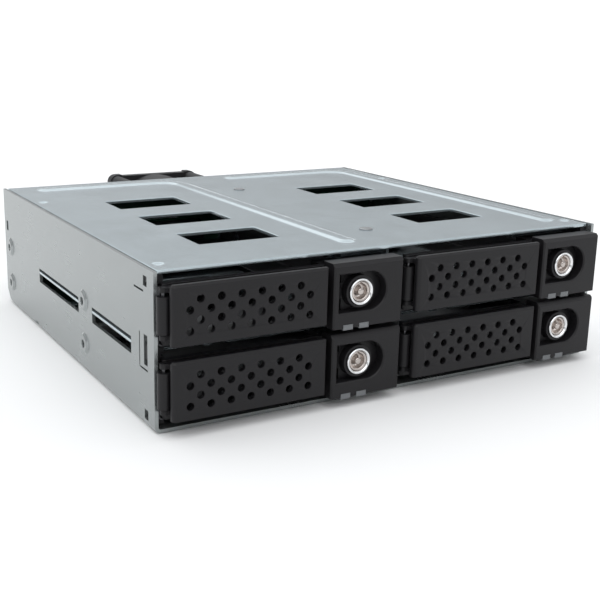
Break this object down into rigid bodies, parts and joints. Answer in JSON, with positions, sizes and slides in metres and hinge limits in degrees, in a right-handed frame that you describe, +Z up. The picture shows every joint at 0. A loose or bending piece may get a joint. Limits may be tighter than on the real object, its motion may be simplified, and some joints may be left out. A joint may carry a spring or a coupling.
{
  "type": "hot swap drive cage",
  "caption": "Steel bay cage with sliding drive trays, perforated lever doors, sliding key lock buttons, a backplane and a rear fan.",
  "frame": {"origin": "centre of the bottom screw rectangle, on the underside of the cage floor", "axes": "+X to the right seen from the front, +Y to the rear where the fan is, +Z up; the doors face -Y"},
  "size_m": [0.1472, 0.1724, 0.0419],
  "materials": {
    "galvanised_steel": "zinc coated sheet, fine grain",
    "tray_steel": "plain sheet",
    "black_plastic": "satin moulded",
    "guide_plastic": "satin moulded",
    "lock_chrome": "bright plated",
    "lock_core": "plated, slightly dull",
    "light_pipe": "clear moulded",
    "board": "solder resist",
    "connector_black": "moulded",
    "fan_black": "moulded",
    "screw_steel": "plated",
    "pin_steel": "blackened",
    "spring_steel": "rolled strip",
    "standoff_brass": "turned"
  },
  "bodies": {
    "cage": {"cage_base": "galvanised_steel", "top_cover": "galvanised_steel", "cover_rivets": "screw_steel", "centre_divider": "galvanised_steel", "middle_shelf": "galvanised_steel", "guide_blocks": "guide_plastic", "backplane_board": "board", "backplane_bracket": "galvanised_steel", "board_standoffs": "standoff_brass", "board_screws": "screw_steel", "data_ports": "connector_black", "power_ports": "connector_black", "fan_header": "connector_black", "rear_panel": "galvanised_steel", "fan_flanges": "fan_black", "fan_duct": "fan_black", "fan_struts": "fan_black", "fan_screws": "screw_steel", "drive_receptacle_lower_left": "connector_black", "drive_receptacle_lower_right": "connector_black", "drive_receptacle_upper_left": "connector_black", "drive_receptacle_upper_right": "connector_black"},
    "fan_rotor": {"fan_rotor": "fan_black"},
    "tray_lower_left": {"tray_pan_lower_left": "tray_steel", "tray_front_lower_left": "black_plastic", "hinge_pin_lower_left": "pin_steel", "light_pipes_lower_left": "light_pipe"},
    "door_lower_left": {"door_lever_lower_left": "black_plastic"},
    "button_lower_left": {"release_button_lower_left": "black_plastic", "lock_housing_lower_left": "lock_chrome", "latch_spring_lower_left": "spring_steel"},
    "lock_lower_left": {"lock_plug_lower_left": "lock_core"},
    "tray_lower_right": {"tray_pan_lower_right": "tray_steel", "tray_front_lower_right": "black_plastic", "hinge_pin_lower_right": "pin_steel", "light_pipes_lower_right": "light_pipe"},
    "door_lower_right": {"door_lever_lower_right": "black_plastic"},
    "button_lower_right": {"release_button_lower_right": "black_plastic", "lock_housing_lower_right": "lock_chrome", "latch_spring_lower_right": "spring_steel"},
    "lock_lower_right": {"lock_plug_lower_right": "lock_core"},
    "tray_upper_left": {"tray_pan_upper_left": "tray_steel", "tray_front_upper_left": "black_plastic", "hinge_pin_upper_left": "pin_steel", "light_pipes_upper_left": "light_pipe"},
    "door_upper_left": {"door_lever_upper_left": "black_plastic"},
    "button_upper_left": {"release_button_upper_left": "black_plastic", "lock_housing_upper_left": "lock_chrome", "latch_spring_upper_left": "spring_steel"},
    "lock_upper_left": {"lock_plug_upper_left": "lock_core"},
    "tray_upper_right": {"tray_pan_upper_right": "tray_steel", "tray_front_upper_right": "black_plastic", "hinge_pin_upper_right": "pin_steel", "light_pipes_upper_right": "light_pipe"},
    "door_upper_right": {"door_lever_upper_right": "black_plastic"},
    "button_upper_right": {"release_button_upper_right": "black_plastic", "lock_housing_upper_right": "lock_chrome", "latch_spring_upper_right": "spring_steel"},
    "lock_upper_right": {"lock_plug_upper_right": "lock_core"}
  },
  "joints": [
    {"name": "tray_slide_lower_left", "type": "slide", "parent": "cage", "child": "tray_lower_left", "axis": [0, -1, 0], "range_m": [0, 0.112]},
    {"name": "door_hinge_lower_left", "type": "hinge", "parent": "tray_lower_left", "child": "door_lower_left", "pos_m": [-0.0711, -0.08872, 0.01225], "axis": [0, 0, -1], "range_deg": [0, 40]},
    {"name": "button_slide_lower_left", "type": "slide", "parent": "tray_lower_left", "child": "button_lower_left", "axis": [1, 0, 0], "range_m": [0, 0.0028], "stiffness_N_per_m": 250, "springref_m": -0.002, "deforming": ["latch_spring_lower_left"]},
    {"name": "lock_turn_lower_left", "type": "hinge", "parent": "button_lower_left", "child": "lock_lower_left", "pos_m": [-0.0165, -0.08803, 0.0123], "axis": [0, 1, 0], "range_deg": [0, 90]},
    {"name": "tray_slide_lower_right", "type": "slide", "parent": "cage", "child": "tray_lower_right", "axis": [0, -1, 0], "range_m": [0, 0.112]},
    {"name": "door_hinge_lower_right", "type": "hinge", "parent": "tray_lower_right", "child": "door_lower_right", "pos_m": [0.0013, -0.08872, 0.01225], "axis": [0, 0, -1], "range_deg": [0, 40]},
    {"name": "button_slide_lower_right", "type": "slide", "parent": "tray_lower_right", "child": "button_lower_right", "axis": [1, 0, 0], "range_m": [0, 0.0028], "stiffness_N_per_m": 250, "springref_m": -0.002, "deforming": ["latch_spring_lower_right"]},
    {"name": "lock_turn_lower_right", "type": "hinge", "parent": "button_lower_right", "child": "lock_lower_right", "pos_m": [0.0559, -0.08803, 0.0123], "axis": [0, 1, 0], "range_deg": [0, 90]},
    {"name": "tray_slide_upper_left", "type": "slide", "parent": "cage", "child": "tray_upper_left", "axis": [0, -1, 0], "range_m": [0, 0.112]},
    {"name": "door_hinge_upper_left", "type": "hinge", "parent": "tray_upper_left", "child": "door_upper_left", "pos_m": [-0.0711, -0.08872, 0.03145], "axis": [0, 0, -1], "range_deg": [0, 40]},
    {"name": "button_slide_upper_left", "type": "slide", "parent": "tray_upper_left", "child": "button_upper_left", "axis": [1, 0, 0], "range_m": [0, 0.0028], "stiffness_N_per_m": 250, "springref_m": -0.002, "deforming": ["latch_spring_upper_left"]},
    {"name": "lock_turn_upper_left", "type": "hinge", "parent": "button_upper_left", "child": "lock_upper_left", "pos_m": [-0.0165, -0.08803, 0.0315], "axis": [0, 1, 0], "range_deg": [0, 90]},
    {"name": "tray_slide_upper_right", "type": "slide", "parent": "cage", "child": "tray_upper_right", "axis": [0, -1, 0], "range_m": [0, 0.112]},
    {"name": "door_hinge_upper_right", "type": "hinge", "parent": "tray_upper_right", "child": "door_upper_right", "pos_m": [0.0013, -0.08872, 0.03145], "axis": [0, 0, -1], "range_deg": [0, 40]},
    {"name": "button_slide_upper_right", "type": "slide", "parent": "tray_upper_right", "child": "button_upper_right", "axis": [1, 0, 0], "range_m": [0, 0.0028], "stiffness_N_per_m": 250, "springref_m": -0.002, "deforming": ["latch_spring_upper_right"]},
    {"name": "lock_turn_upper_right", "type": "hinge", "parent": "button_upper_right", "child": "lock_upper_right", "pos_m": [0.0559, -0.08803, 0.0315], "axis": [0, 1, 0], "range_deg": [0, 90]},
    {"name": "fan_spin", "type": "hinge", "parent": "cage", "child": "fan_rotor", "pos_m": [-0.0045, 0.06548, 0.021], "axis": [0, 1, 0], "continuous": true}
  ]
}
